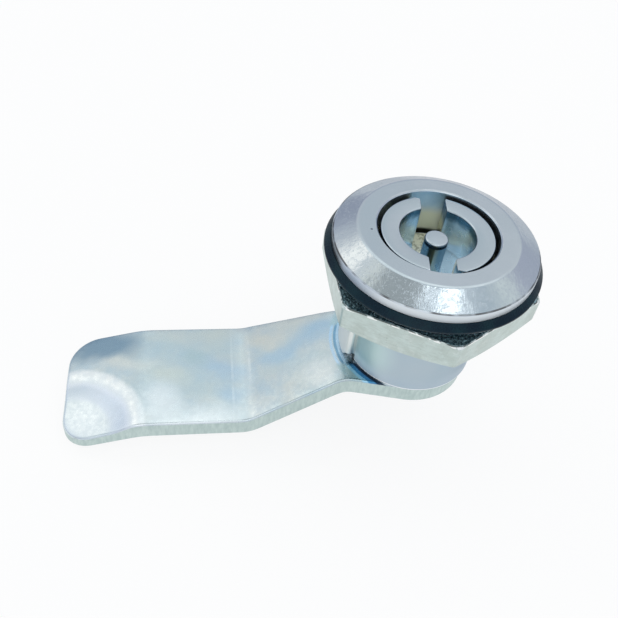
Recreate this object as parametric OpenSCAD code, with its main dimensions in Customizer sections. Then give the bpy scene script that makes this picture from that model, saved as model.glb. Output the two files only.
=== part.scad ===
// Quarter-turn cabinet lock: a round head and threaded barrel that clamp in a
// panel hole, a keyed insert that turns in the barrel, and a cranked cam that
// the insert swings behind the door frame. Millimetres, +Z out of the panel
// towards the key, origin on the lock's axis at the underside of the head.

/* [Head] */
// Diameter of the head's upright rim
head_d = 28; // [26:0.5:34]
// Height of the head above its underside
head_h = 3.1; // [2.6:0.1:5]
// Height of the upright rim below the cone
rim_h = 1.3; // [0.6:0.1:2]
// Diameter of the flat ring round the key bore
face_d = 21.6; // [18.6:0.2:24]
// Break on the mouth of the key bore
mouth_chamfer = 0.2; // [0.1:0.05:0.4]

/* [Barrel] */
// Diameter over the threaded lands
thread_d = 22; // [21.4:0.2:26]
// Diameter of the plain barrel between the lands
barrel_d = 19; // [18.4:0.2:20.6]
// Length of the barrel below the head
barrel_l = 19.4; // [18:0.2:36]
// Arc of each threaded land in degrees
land_angle = 38; // [24:2:80]
// Height of the plain neck under the head
neck_h = 1.2; // [0.6:0.1:2]
// Lead chamfer at the free end of the lands
land_chamfer = 0.7; // [0.3:0.1:1]

/* [Key insert] */
// Diameter of the bore that holds the insert's cup
bore_d = 16.5; // [15.8:0.1:17]
// Radial gap round the cup
cup_gap = 0.6; // [0.2:0.05:0.8]
// Depth of the cup's face below the head's face
face_recess = 0.6; // [0:0.1:1.2]
// Diameter of the key socket
socket_d = 10.3; // [9:0.1:11]
// Depth of the key socket
socket_depth = 6.5; // [5:0.25:8]
// Thickness of the cup's floor
floor_t = 1.8; // [1.2:0.1:3]
// Width of the two key slots
slot_w = 3.5; // [2.5:0.1:4.5]
// Direction of the key slots from +X in degrees
slot_angle = 83; // [0:1:180]
// Break on the leading outer corner of each slot
slot_chamfer = 0.9; // [0.3:0.1:1.2]
// Diameter of the centre pin
key_pin_d = 3.1; // [2.5:0.1:4]
// Depth of the pin's end below the cup's face
key_pin_drop = 0.9; // [0:0.1:2]
// Chamfer on the pin's end
key_pin_chamfer = 0.25; // [0.1:0.05:0.5]

/* [Bearing] */
// Diameter of the insert's journal
journal_d = 12; // [11.6:0.2:13]
// Radial running clearance of the journal
run_clear = 0.05; // [0.02:0.01:0.1]
// Axial play at each end of the insert
end_play = 0.1; // [0.05:0.05:0.3]
// Cord diameter of the shaft seal
seal_cord = 1.8; // [1.5:0.1:2.2]
// Depth of the seal groove
seal_groove = 1.5; // [1.2:0.1:1.8]
// Extra width of the seal groove over the cord
seal_side = 0.5; // [0.2:0.1:1]
// Distance from the stop pocket to the middle of the seal
seal_set = 3; // [2:0.2:3.6]

/* [Stop] */
// Swing of the cam between its stops in degrees
turn = 90; // [45:5:120]
// Arc of the stop lug in degrees
lug_angle = 40; // [20:5:60]
// Height of the stop lug
lug_h = 2; // [1:0.25:3]
// Radial gap outside the lug
lug_gap = 0.3; // [0.15:0.05:0.5]
// Play between the lug and each stop in degrees
stop_play = 0.5; // [0.25:0.25:2]

/* [Cam] */
// Thickness of the cam plate
cam_t = 3; // [2:0.25:4]
// Distance from the axis to the tip
cam_reach = 52; // [44:1:80]
// Width of the tongue
cam_w = 18.5; // [15:0.5:22]
// Width of the neck between the hub and the tongue
cam_neck_w = 13.8; // [13:0.2:15]
// Diameter of the round hub
hub_d = 18; // [16.5:0.5:21]
// Distance from the axis to the first bend
crank_start = 10.5; // [10:0.25:13]
// Distance from the axis to the second bend
crank_end = 24.4; // [21:0.25:28]
// Drop of the tongue behind the hub
crank_drop = 6.4; // [3:0.2:10]
// Length of the lead-in at the tip
lead_l = 11.7; // [6:0.1:14]
// Slope of the lead-in in degrees
lead_angle = 14.5; // [5:0.5:35]
// Radius of the crank bends at mid thickness
crank_r = 6; // [3:0.5:8]
// Radius of the lead-in bend at mid thickness
lead_r = 14; // [6:0.5:20]
// Radius of the tip's corners
tip_r = 4.6; // [1:0.2:6]
// Reach of the ramp coined into the tip's leading corner
ramp_r = 11.5; // [8:0.5:13]
// Depth of the coined ramp
ramp_depth = 1.1; // [0.4:0.1:1.5]
// Width of the ramp's sloping border
ramp_w = 3.2; // [2:0.2:5]
// Radius that blends the neck and the shoulders of the plate
blend_r = 14; // [6:1:20]
// Side of the insert's square drive
drive_w = 8; // [7:0.1:8.2]
// Clearance on each side of the square drive
drive_clear = 0.1; // [0.05:0.05:0.2]

/* [Nut] */
// Width of the nut across its flats
nut_af = 27; // [26:0.5:32]
// Height of the nut
nut_h = 4.6; // [3:0.2:8]
// Distance from the head's underside to the nut
grip = 2.9; // [2:0.1:8]
// Turn of the nut about the axis in degrees
nut_turn = 31.5; // [0:0.5:60]
// Radial clearance of the nut on the lands
nut_clear = 0.05; // [0.03:0.01:0.15]
// Set-in from the nut's flats of the chamfer circle on its lower face
nut_chamfer = 0.2; // [0.1:0.05:0.6]
// Slope of the chamfer on the nut's lower face in degrees
nut_slope = 22; // [15:1:30]
// Set-in from the nut's corners of the break on its upper face
nut_break = 0.6; // [0.3:0.1:1]
// Slope of the break on the nut's upper face in degrees
break_slope = 40; // [30:1:45]
// Chamfer at each end of the nut's thread
nut_mouth = 0.6; // [0.3:0.1:1]

/* [Gasket] */
// Outer diameter of the gasket
gasket_d = 29.7; // [28.9:0.1:34]
// Thickness of the gasket
gasket_t = 1.2; // [1:0.1:1.8]
// Radial clearance of the gasket on the lands
gasket_clear = 0.1; // [0.05:0.05:0.3]
// Rounding of the gasket's lower outer edge
gasket_r = 0.35; // [0.1:0.05:0.4]
// Width of the bevel on the gasket's upper outer edge
bevel_w = 0.8; // [0.4:0.05:1]
// Height of the bevel on the gasket's upper outer edge
bevel_h = 0.7; // [0.3:0.05:0.8]

/* [Cam screw] */
// Diameter of the screw
screw_d = 6; // [5:0.5:7]
// Length of the screw under its head
screw_l = 10; // [8:1:14]
// Radial clearance of the screw in the insert and washers
screw_clear = 0.05; // [0.03:0.01:0.1]
// Diameter of the screw's low head
screw_head_d = 10; // [9:0.25:12]
// Height of the screw's head
screw_head_h = 2.1; // [1.6:0.1:4]
// Width across the flats of the hexagon socket in the screw's head
key_af = 4; // [3:0.5:5]
// Depth of the hexagon socket in the screw's head
key_depth = 1.2; // [0.8:0.1:1.4]
// Chamfer on the screw's point and round its head
screw_chamfer = 0.5; // [0.3:0.1:0.8]
// Depth left in the threaded hole past the screw's point
tap_spare = 1.5; // [1:0.25:2]
// Set-back of the square drive from the back of the cam
drive_short = 0.3; // [0.2:0.1:0.6]
// Diameter of the plain washer
washer_d = 14; // [12.5:0.5:17]
// Thickness of the plain washer
washer_t = 1; // [0.8:0.1:2]
// Diameter of the spring washer
spring_d = 11.8; // [10.5:0.1:12.4]
// Thickness of the spring washer
spring_t = 1.2; // [1:0.1:2]
// Width of the spring washer's split
split_w = 1; // [0.6:0.1:1.6]
// Slope of the spring washer's split in degrees
split_angle = 20; // [10:5:30]

/* [Hidden] */

$fn = 128;
// Depth by which cuts pass the faces they open
past = 1;
// Overlap that fuses two forms of one casting
fuse = 0.2;
// Steps in each bend and rounded corner drawn as points
bend_steps = 9;

// Heights along the axis, from the key end down
cup_top = head_h - face_recess;
socket_floor = cup_top - socket_depth;
cup_end = socket_floor - floor_t;
bore_end = cup_end - end_play;
lug_end = cup_end - lug_h;
pocket_end = lug_end - end_play;
seal_z = pocket_end - seal_set;
cam_top = -barrel_l - end_play;
cam_back = cam_top - cam_t;
drive_end = cam_back + drive_short;
washer_back = cam_back - washer_t;
spring_back = washer_back - spring_t;
tap_end = spring_back + screw_l + tap_spare;

// Radii
cup_r = bore_d / 2 - cup_gap;
lug_r = bore_d / 2 - lug_gap;
bearing_r = journal_d / 2 + run_clear;
screw_hole_r = screw_d / 2 + screw_clear;

// The lug starts where it leaves the whole swing ahead of it
lug_start = slot_angle + 90;

// Slopes and profile of the cam's mid surface, out along its length
crank_angle = atan(crank_drop / (crank_end - crank_start));
lead_start = cam_reach - lead_l;
cam_mid = [
    [-hub_d, 0],
    [crank_start, 0],
    [crank_end, -crank_drop],
    [lead_start, -crank_drop],
    [cam_reach + cam_t, -crank_drop - (lead_l + cam_t) * tan(lead_angle)],
];
cam_bend_r = [0, crank_r, crank_r, lead_r, 0];

// Plan of the cam's edge on one side, out along its length from where it leaves the hub
neck_end = [crank_start, cam_neck_w / 2];
hub_tangent = atan2(neck_end[1], neck_end[0]) + acos(hub_d / 2 / norm(neck_end));
cam_edge = [
    hub_d / 2 * [cos(hub_tangent), sin(hub_tangent)],
    neck_end,
    [crank_end, cam_w / 2],
    [cam_reach, cam_w / 2],
];

function heading(p, q) = atan2(q[1] - p[1], q[0] - p[0]);
function left(a) = [-sin(a), cos(a)];
function ahead(a) = [cos(a), sin(a)];
function backwards(list) = [for (i = [len(list) - 1 : -1 : 0]) list[i]];
function mirrored(list) = [for (p = list) [p[0], -p[1]]];

// Points of a bend of radius r at corner q, for a line offset by side to its left
function bend(p, q, s, r, side = 0) =
    let (a0 = heading(p, q), turned = heading(q, s) - a0, way = sign(turned),
         start = q - r * tan(abs(turned) / 2) * ahead(a0), centre = start + r * way * left(a0))
    [for (k = [0 : bend_steps]) centre - way * (r - way * side) * left(a0 + turned * k / bend_steps)];

// A whole path with its inner corners bent, offset by side to its left
function bent_path(pts, radii, side) =
    let (last = len(pts) - 1)
    concat(
        [pts[0] + side * left(heading(pts[0], pts[1]))],
        [for (i = [1 : last - 1]) each bend(pts[i - 1], pts[i], pts[i + 1], radii[i], side)],
        [pts[last] + side * left(heading(pts[last - 1], pts[last]))]);

// Ring of rectangular section between two radii and two heights
module ring(r_in, r_out, z_low, z_high, sweep = 360, start = 0) {
    rotate([0, 0, start])
        rotate_extrude(angle = sweep)
            translate([r_in, z_low])
                square([r_out - r_in, z_high - z_low]);
}

// Cast head and barrel with two opposite threaded lands, bored for the insert
module housing() {
    color([0.70, 0.74, 0.79])
    difference() {
        union() {
            rotate_extrude()
                polygon([
                    [0, -fuse], [barrel_d / 2, -fuse], [barrel_d / 2, 0], [head_d / 2, 0],
                    [head_d / 2, rim_h], [face_d / 2, head_h], [0, head_h],
                ]);
            translate([0, 0, -barrel_l])
                cylinder(d = barrel_d, h = barrel_l);
            for (a = [0, 180])
                rotate([0, 0, a - land_angle / 2])
                    rotate_extrude(angle = land_angle)
                        polygon([
                            [barrel_d / 2 - fuse, -barrel_l],
                            [thread_d / 2 - land_chamfer, -barrel_l],
                            [thread_d / 2, -barrel_l + land_chamfer],
                            [thread_d / 2, -neck_h],
                            [barrel_d / 2 - fuse, -neck_h],
                        ]);
        }
        translate([0, 0, bore_end])
            cylinder(d = bore_d, h = head_h - bore_end + past);
        translate([0, 0, head_h - mouth_chamfer])
            cylinder(d1 = bore_d, d2 = bore_d + 2 * mouth_chamfer + 2 * past, h = mouth_chamfer + past);
        translate([0, 0, -barrel_l - past])
            cylinder(r = bearing_r, h = barrel_l + past + head_h);
        ring(bearing_r - fuse, bore_d / 2, pocket_end, bore_end + fuse,
             turn + lug_angle + 2 * stop_play, lug_start - stop_play);
    }
}

// Soft ring between the head and the panel
module head_gasket() {
    gasket_in = thread_d / 2 + gasket_clear;
    gasket_out = gasket_d / 2;
    bevel_low = min(bevel_h, gasket_t - gasket_r - 0.1);
    color([0.05, 0.07, 0.09])
    rotate_extrude()
        union() {
            polygon([
                [gasket_in, -gasket_t], [gasket_out - gasket_r, -gasket_t],
                [gasket_out - gasket_r, -gasket_t + gasket_r], [gasket_out, -gasket_t + gasket_r],
                [gasket_out, -bevel_low], [gasket_out - bevel_w, 0], [gasket_in, 0],
            ]);
            translate([gasket_out - gasket_r, -gasket_t + gasket_r])
                circle(r = gasket_r);
        }
}

// Nut that clamps the panel against the gasket
module hex_nut() {
    nut_bore_r = thread_d / 2 + nut_clear;
    nut_low = -grip - nut_h;
    corner_r = nut_af / sqrt(3);
    low_r = nut_af / 2 - nut_chamfer;
    high_r = corner_r - nut_break;
    turned_r = corner_r + fuse;
    color([0.72, 0.77, 0.73])
    difference() {
        rotate([0, 0, nut_turn])
            intersection() {
                translate([0, 0, nut_low])
                    cylinder(r = corner_r, h = nut_h, $fn = 6);
                rotate_extrude()
                    polygon([
                        [0, nut_low], [low_r, nut_low],
                        [turned_r, nut_low + (turned_r - low_r) * tan(nut_slope)],
                        [turned_r, -grip - (turned_r - high_r) * tan(break_slope)],
                        [high_r, -grip], [0, -grip],
                    ]);
            }
        translate([0, 0, -grip - nut_h - past])
            cylinder(r = nut_bore_r, h = nut_h + 2 * past);
        translate([0, 0, -grip - nut_mouth])
            cylinder(r1 = nut_bore_r, r2 = nut_bore_r + nut_mouth + past, h = nut_mouth + past);
        translate([0, 0, -grip - nut_h - past])
            cylinder(r1 = nut_bore_r + nut_mouth + past, r2 = nut_bore_r, h = nut_mouth + past);
    }
}

// Cast insert: slotted cup round the centre pin, stop lug, journal and square drive
module insert() {
    chamfer_r = cup_r - slot_chamfer / 2;
    color([0.68, 0.72, 0.77])
    difference() {
        union() {
            difference() {
                translate([0, 0, cup_end])
                    cylinder(r = cup_r, h = cup_top - cup_end);
                translate([0, 0, socket_floor])
                    cylinder(d = socket_d, h = socket_depth + past);
                for (a = [0, 180])
                    rotate([0, 0, slot_angle + a])
                        translate([0, 0, socket_floor])
                            linear_extrude(height = socket_depth + past)
                                polygon([
                                    [0, -slot_w / 2], [cup_r + past, -slot_w / 2],
                                    [cup_r + past, slot_w / 2 + slot_chamfer + 2 * past],
                                    [cup_r, slot_w / 2 + slot_chamfer],
                                    [chamfer_r, slot_w / 2], [0, slot_w / 2],
                                ]);
            }
            translate([0, 0, socket_floor - fuse])
                cylinder(d = key_pin_d, h = socket_depth - key_pin_drop - key_pin_chamfer + fuse);
            translate([0, 0, cup_top - key_pin_drop - key_pin_chamfer])
                cylinder(d1 = key_pin_d, d2 = key_pin_d - 2 * key_pin_chamfer, h = key_pin_chamfer);
            translate([0, 0, cam_top])
                cylinder(d = journal_d, h = cup_end - cam_top + fuse);
            ring(journal_d / 2 - fuse, lug_r, lug_end, cup_end + fuse, lug_angle, lug_start);
            translate([-drive_w / 2, -drive_w / 2, drive_end])
                cube([drive_w, drive_w, cam_top - drive_end + fuse]);
        }
        ring(journal_d / 2 - seal_groove, journal_d / 2 + past,
             seal_z - (seal_cord + seal_side) / 2, seal_z + (seal_cord + seal_side) / 2);
        translate([0, 0, drive_end - past])
            cylinder(r = screw_hole_r, h = tap_end - drive_end + past);
    }
}

// Rubber seal in the journal's groove, flattened against the bore
module shaft_seal() {
    groove_r = journal_d / 2 - seal_groove;
    color([0.06, 0.06, 0.07])
    translate([0, 0, seal_z])
        rotate_extrude()
            intersection() {
                translate([groove_r + seal_cord / 2, 0])
                    circle(d = seal_cord);
                translate([groove_r, -seal_cord])
                    square([seal_groove + run_clear / 2, 2 * seal_cord]);
            }
}

// Pressed plate that the insert carries on its square, cranked clear of the nut
module cam() {
    edge = concat(
        [cam_edge[0]],
        bend(cam_edge[0], cam_edge[1], cam_edge[2], blend_r / 2),
        bend(cam_edge[1], cam_edge[2], cam_edge[3], blend_r),
        bend(cam_edge[2], cam_edge[3], [cam_reach, 0], tip_r));
    hole = drive_w + 2 * drive_clear;
    strip = concat(
        bent_path(cam_mid, cam_bend_r, cam_t / 2),
        backwards(bent_path(cam_mid, cam_bend_r, -cam_t / 2)));
    color([0.76, 0.81, 0.86])
    difference() {
        intersection() {
            rotate([0, 0, 180])
                translate([0, hub_d + cam_w, cam_top - cam_t / 2])
                    rotate([90, 0, 0])
                        linear_extrude(height = 2 * (hub_d + cam_w))
                            polygon(strip);
            rotate([0, 0, 180])
                translate([0, 0, cam_top - crank_drop - cam_reach])
                    union() {
                        cylinder(d = hub_d, h = crank_drop + cam_reach + past);
                        linear_extrude(height = crank_drop + cam_reach + past)
                            polygon(concat(edge, backwards(mirrored(edge))));
                    }
        }
        translate([-hole / 2, -hole / 2, cam_back - past])
            cube([hole, hole, cam_t + 2 * past]);
        translate([-lead_start, -cam_w / 2, cam_top - crank_drop])
            rotate([0, -lead_angle, 0])
                translate([-lead_l / cos(lead_angle), 0, -ramp_depth])
                    cylinder(r1 = ramp_r - ramp_w, r2 = ramp_r + past * ramp_w / ramp_depth, h = ramp_depth + past);
    }
}

// Flat washer that holds the cam on the square
module plain_washer() {
    color([0.74, 0.78, 0.80])
    ring(screw_hole_r, washer_d / 2, washer_back, cam_back);
}

// Spring washer, flattened, with its sloping split
module spring_washer() {
    color([0.66, 0.69, 0.72])
    difference() {
        ring(screw_hole_r, spring_d / 2, spring_back, washer_back);
        translate([0, spring_d / 2, (spring_back + washer_back) / 2])
            rotate([0, split_angle, 0])
                cube([split_w, spring_d, 3 * spring_t], center = true);
    }
}

// Low-headed socket screw in the end of the insert
module cam_screw() {
    head_low = spring_back - screw_head_h;
    point = spring_back + screw_l;
    color([0.74, 0.78, 0.80])
    difference() {
        rotate_extrude()
            polygon([
                [0, head_low], [screw_head_d / 2 - screw_chamfer, head_low],
                [screw_head_d / 2, head_low + screw_chamfer], [screw_head_d / 2, spring_back],
                [screw_d / 2, spring_back], [screw_d / 2, point - screw_chamfer],
                [screw_d / 2 - screw_chamfer, point], [0, point],
            ]);
        translate([0, 0, head_low - past])
            cylinder(r = key_af / sqrt(3), h = key_depth + past, $fn = 6);
    }
}

housing();
head_gasket();
hex_nut();
insert();
shaft_seal();
cam();
plain_washer();
spring_washer();
cam_screw();
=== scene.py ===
import bpy
import bmesh
import random
from math import acos, asin, atan2, cos, degrees, dist, hypot, radians, sin, sqrt, tan
from mathutils import Matrix, Vector
from mathutils.geometry import delaunay_2d_cdt


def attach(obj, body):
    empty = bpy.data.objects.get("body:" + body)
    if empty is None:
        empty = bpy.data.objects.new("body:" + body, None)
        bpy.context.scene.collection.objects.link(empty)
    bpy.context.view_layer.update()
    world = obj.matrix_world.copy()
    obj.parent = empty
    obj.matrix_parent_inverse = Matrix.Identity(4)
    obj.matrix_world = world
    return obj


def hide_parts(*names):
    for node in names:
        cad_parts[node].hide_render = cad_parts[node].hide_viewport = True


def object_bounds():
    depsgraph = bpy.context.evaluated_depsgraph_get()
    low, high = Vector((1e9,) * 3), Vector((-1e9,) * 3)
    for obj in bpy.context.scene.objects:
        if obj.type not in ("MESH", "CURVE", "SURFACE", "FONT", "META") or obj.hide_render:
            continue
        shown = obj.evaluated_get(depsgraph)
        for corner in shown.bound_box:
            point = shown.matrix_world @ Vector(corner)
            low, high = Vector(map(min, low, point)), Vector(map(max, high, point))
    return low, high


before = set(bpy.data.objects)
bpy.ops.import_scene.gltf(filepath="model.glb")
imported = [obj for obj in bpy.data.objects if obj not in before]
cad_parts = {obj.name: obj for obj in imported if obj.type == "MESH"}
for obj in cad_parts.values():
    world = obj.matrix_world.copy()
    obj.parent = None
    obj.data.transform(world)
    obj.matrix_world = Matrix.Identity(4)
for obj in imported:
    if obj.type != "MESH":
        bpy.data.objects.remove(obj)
cad_box = [list(corner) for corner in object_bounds()]

# The studio: the lock hangs just over a white paper sweep, inside a pale blue-grey
# tent with one soft box overhead. The camera looks down on the key end from the
# front left. Polished zinc shows the tent, so its walls are shaded with care.
MM = 0.001


def add(tree, kind, *feeds, **settings):
    """Adds a shader node. Feeds go to its inputs in order: sockets are joined and values are set."""
    made = tree.nodes.new(kind)
    for name, value in settings.items():
        setattr(made, name, value)
    for socket, feed in zip(made.inputs, feeds):
        join(feed, socket)
    return made


def join(feed, socket):
    if isinstance(feed, bpy.types.NodeSocket):
        socket.id_data.links.new(feed, socket)
    else:
        socket.default_value = (*feed, 1.0) if socket.type == "RGBA" and len(feed) == 3 else feed


def tree_of(*feeds):
    """The node tree of the first feed that is a socket."""
    return next(feed.id_data for feed in feeds if isinstance(feed, bpy.types.NodeSocket))


def calc(operation, *feeds):
    return add(tree_of(*feeds), "ShaderNodeMath", *feeds, operation=operation).outputs[0]


def vector(operation, *feeds):
    """Vector arithmetic, which gives a number where it measures a length."""
    made = add(tree_of(*feeds), "ShaderNodeVectorMath", *feeds, operation=operation)
    return made.outputs["Value" if operation in ("DISTANCE", "LENGTH", "DOT_PRODUCT") else "Vector"]


def axes(feed):
    return add(feed.id_data, "ShaderNodeSeparateXYZ", feed).outputs


def spread(value, low, high, to_low=0.0, to_high=1.0):
    """The value carried smoothly from one range to another."""
    feeds = (value, low, high, to_low, to_high)
    return add(tree_of(*feeds), "ShaderNodeMapRange", *feeds, interpolation_type="SMOOTHSTEP").outputs[0]


def blend(share, first, second):
    """A colour that goes from the first to the second as the share goes from 0 to 1."""
    mix = add(tree_of(share, first, second), "ShaderNodeMix", data_type="RGBA")
    for name, feed in (("Factor_Float", share), ("A_Color", first), ("B_Color", second)):
        join(feed, next(s for s in mix.inputs if s.identifier == name))
    return next(s for s in mix.outputs if s.identifier == "Result_Color")


def polar(radius, bearing):
    """The point at a radius and a bearing in degrees."""
    turn = radians(bearing)
    return radius * cos(turn), radius * sin(turn)


def towards(bearing, height):
    """The direction at a bearing from +X and a height over the horizon, in degrees."""
    flat, up = polar(1.0, height)
    return (*polar(flat, bearing), up)


def shows_white(tree):
    """1 for the rays that show the background: the camera's, and those that metal and glass pass on."""
    path = tree.nodes.new("ShaderNodeLightPath")
    shiny = calc("MAXIMUM", path.outputs["Is Camera Ray"], path.outputs["Is Glossy Ray"])
    return calc("MAXIMUM", shiny, path.outputs["Is Transmission Ray"])


def set_up(name, data):
    """A new object in the scene."""
    made = bpy.data.objects.new(name, data)
    bpy.context.scene.collection.objects.link(made)
    return made


camera_data = bpy.data.cameras.new("camera")
camera_data.lens = 42.26
camera_data.sensor_width = 36.0
camera_data.clip_start = 0.005
camera = set_up("camera", camera_data)
bpy.context.scene.camera = camera
camera_at = Vector((-30.582, -70.373, 63.056)) * MM
camera_right = Vector((0.98985, -0.10756, 0.09287))
camera_up = Vector((0.01463, 0.72743, 0.68603))
camera_axes = Matrix((camera_right, camera_up, camera_right.cross(camera_up))).transposed()
camera.matrix_world = Matrix.Translation(camera_at) @ camera_axes.to_4x4()
bpy.context.scene.view_settings.view_transform = "Standard"

tent = bpy.data.worlds.new("tent")
tent.use_nodes = True
bpy.context.scene.world = tent
tree = tent.node_tree
tree.nodes.clear()
direction = add(tree, "ShaderNodeTexCoord").outputs["Generated"]
walls = add(tree, "ShaderNodeValToRGB", calc("MULTIPLY_ADD", axes(direction)["Z"], 0.5, 0.5))
ramp = walls.color_ramp
ramp.interpolation = "EASE"
ramp.elements[0].position, ramp.elements[0].color = 0.46, (0.92, 0.95, 0.97, 1)
ramp.elements[1].position, ramp.elements[1].color = 0.56, (0.64, 0.67, 0.76, 1)
for up, shade in ((0.68, (0.68, 0.72, 0.79)), (0.8, (0.8, 0.82, 0.86)),
                  (0.92, (0.86, 0.9, 0.93)), (1.0, (0.72, 0.78, 0.82))):
    ramp.elements.new(up).color = (*shade, 1)
# Lighter and darker panels: bearing and height, how far the full tone reaches, how far it fades.
shade = walls.outputs["Color"]
for bearing, lift, core, edge, tone in (
    (137, 44, 4, 12, (1.66, 1.58, 1.46)),
    (160, 30, 9, 20, (1.04, 1.07, 1.12)),
    (77, 40, 1, 8, (0.68, 0.75, 0.8)),
    (160, 60, 3, 9, (1.12, 1.12, 1.04)),
    (103, 12, 8, 20, (0.5, 0.53, 0.63)),
    (60, 68, 5, 12, (1.3, 1.34, 1.34)),
    (37, 55, 4, 10, (1.3, 1.34, 1.34)),
    (112, 53, 5, 11, (1.25, 1.3, 1.28)),
    (192, 72, 9, 20, (0.52, 0.55, 0.55)),
    (345, 53, 5, 13, (0.62, 0.7, 0.76)),
    (22, 18, 12, 26, (0.62, 0.64, 0.74)),
    (0, 40, 4, 11, (1.02, 1.06, 1.02)),
    (90, 64, 5, 16, (1.2, 1.26, 1.26)),
    (47, 38, 3, 14, (0.86, 0.88, 0.9)),
    (246, 40, 6, 26, (1.35, 1.36, 1.38)),
):
    near = vector("DOT_PRODUCT", direction, towards(bearing, lift))
    panel = spread(near, cos(radians(edge)), cos(radians(core)))
    shade = blend(panel, shade, tone)
add(tree, "ShaderNodeOutputWorld", add(tree, "ShaderNodeBackground", shade).outputs[0])

lamp_distance = 0.45
for name, bearing, lift, wide, tall, power in (("soft_box", 309, 69, 0.13, 0.085, 0.068),
                                               ("strip_box", 262, 79, 0.036, 0.062, 0.013)):
    lamp = bpy.data.lights.new(name, "AREA")
    lamp.shape = "RECTANGLE"
    lamp.size, lamp.size_y, lamp.energy = wide, tall, power
    stand = set_up(name, lamp)
    stand.location = Vector(towards(bearing, lift)) * lamp_distance
    stand.rotation_euler = (-stand.location).to_track_quat("-Z", "Y").to_euler()

paper_height, reach = cad_box[0][2], 2.5
corners = (-reach, -reach), (reach, -reach), (reach, reach), (-reach, reach)
paper_mesh = bpy.data.meshes.new("paper_sweep")
paper_mesh.from_pydata([(x, y, paper_height) for x, y in corners], [], [(0, 1, 2, 3)])
paper_sweep = set_up("paper_sweep", paper_mesh)
paper = bpy.data.materials.new("white_paper")
paper.use_nodes = True
tree = paper.node_tree
tree.nodes.clear()
matt = add(tree, "ShaderNodeBsdfDiffuse", (0.97, 0.975, 0.98)).outputs[0]
lit = add(tree, "ShaderNodeEmission", (1.0, 1.0, 1.0), 1.0).outputs[0]
both = add(tree, "ShaderNodeMixShader", calc("MULTIPLY", shows_white(tree), 0.86), matt, lit)
add(tree, "ShaderNodeOutputMaterial", both.outputs[0])
paper_mesh.materials.append(paper)


# The housing: one zinc die-casting, polished and chromed. Its round head has a flat
# ring, a cone and an upright rim, and two opposite lands on the barrel below carry
# the M22 thread. It is bored for the insert, with a pocket for the insert's stop.
def eased(run, steps=4):
    """A closed run of (across, height, corner radius) in mm, its corners turned to arcs."""
    points = []
    for here, (across, up, radius) in enumerate(run):
        corner = Vector((across, up))
        if not radius:
            points.append((across, up))
            continue
        back = (Vector(run[here - 1][:2]) - corner).normalized()
        onward = (Vector(run[(here + 1) % len(run)][:2]) - corner).normalized()
        half = back.angle(onward) / 2
        centre = corner + (back + onward).normalized() * radius / sin(half)
        start = corner + back * radius / tan(half) - centre
        end = corner + onward * radius / tan(half) - centre
        sweep = atan2(start.x * end.y - start.y * end.x, start.dot(end))
        for step in range(steps + 1):
            point = centre + Matrix.Rotation(sweep * step / steps, 2) @ start
            points.append((point.x, point.y))
    return points


def skin(work, columns, around=True):
    """Faces between columns of points in mm, each a closed loop. Open rows of columns get flat ends."""
    rows = [[work.verts.new(Vector(point) * MM) for point in column] for column in columns]
    count = len(rows[0])
    for left, right in zip(rows, rows[1:] + rows[:1] if around else rows[1:]):
        for low in range(count):
            high = (low + 1) % count
            work.faces.new((left[low], left[high], right[high], right[low]))
    if not around:
        work.faces.new(rows[0][::-1])
        work.faces.new(rows[-1])


def around_axis(run, turn):
    """A run of (radius, height) set at an angle about the axis, in degrees."""
    return [(*polar(radius, turn), up) for radius, up in run]


def turned(work, run, steps=180):
    """A closed run turned all round the axis, as on a lathe."""
    skin(work, [around_axis(run, 360 * step / steps) for step in range(steps)])


def body_from(name, work):
    """An object from a mesh in the making: seams joined, corners over 35 degrees sharp, flats kept flat."""
    bmesh.ops.remove_doubles(work, verts=work.verts, dist=0.0004 * MM)
    bmesh.ops.dissolve_degenerate(work, edges=work.edges, dist=0.0001 * MM)
    bmesh.ops.recalc_face_normals(work, faces=work.faces)
    mesh = bpy.data.meshes.new(name)
    work.to_mesh(mesh)
    work.free()
    mesh.shade_smooth()
    mesh.set_sharp_from_angle(angle=radians(35))
    piece = set_up(name, mesh)
    piece.modifiers.new("flats_kept_flat", "WEIGHTED_NORMAL").keep_sharp = True
    return piece


def held(value, low=0.0, high=1.0):
    """The value, kept between two limits."""
    return min(high, max(low, value))


thread_pitch, thread_depth = 1.5, 0.75


def thread_cut(up, turn):
    """Depth of the M22 thread in mm at a height and an angle: flat crests, round roots, one start."""
    phase = (up / thread_pitch - turn / 360) % 1.0
    return thread_depth * held(1.25 * (1 - abs(2 * phase - 1)) - 0.12) ** 0.9


head_r, head_top, rim_top, ring_r = 14.0, 3.1, 1.3, 10.8
barrel_r, barrel_end, land_r, land_half = 9.5, -19.4, 11.0, 19.0
bore_r, bore_floor, pocket_floor, journal_bore_r = 8.25, -5.9, -7.9, 6.05
pocket_from, pocket_to = 172.5, 303.5
work = bmesh.new()


def housing_run(in_pocket):
    """The housing's section on one side of the axis, through the stop pocket or beside it."""
    step_r, step_up = (bore_r, pocket_floor) if in_pocket else (journal_bore_r, bore_floor)
    return eased([
        (bore_r + 0.18, head_top, 0.06), (ring_r, head_top, 0.9), (head_r, rim_top, 0.26), (head_r, 0, 0.12),
        (barrel_r, 0, 0), (barrel_r, barrel_end, 0.28), (journal_bore_r, barrel_end, 0.2),
        (journal_bore_r, pocket_floor, 0), (step_r, step_up, 0), (bore_r, bore_floor, 0),
        (bore_r, head_top - 0.18, 0.06),
    ], 6)


turns = [(1.5 * step, pocket_from < 1.5 * step < pocket_to) for step in range(240)]
turns += [(pocket_from, False), (pocket_from + 1e-6, True), (pocket_to, True), (pocket_to + 1e-6, False)]
skin(work, [around_axis(housing_run(in_pocket), turn) for turn, in_pocket in sorted(turns)])

shoulder_from, fillet_to = 11.0, 21.8
land_high, land_foot, land_ease, thread_ends = -1.2, -18.4, 0.4, -12.6


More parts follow.
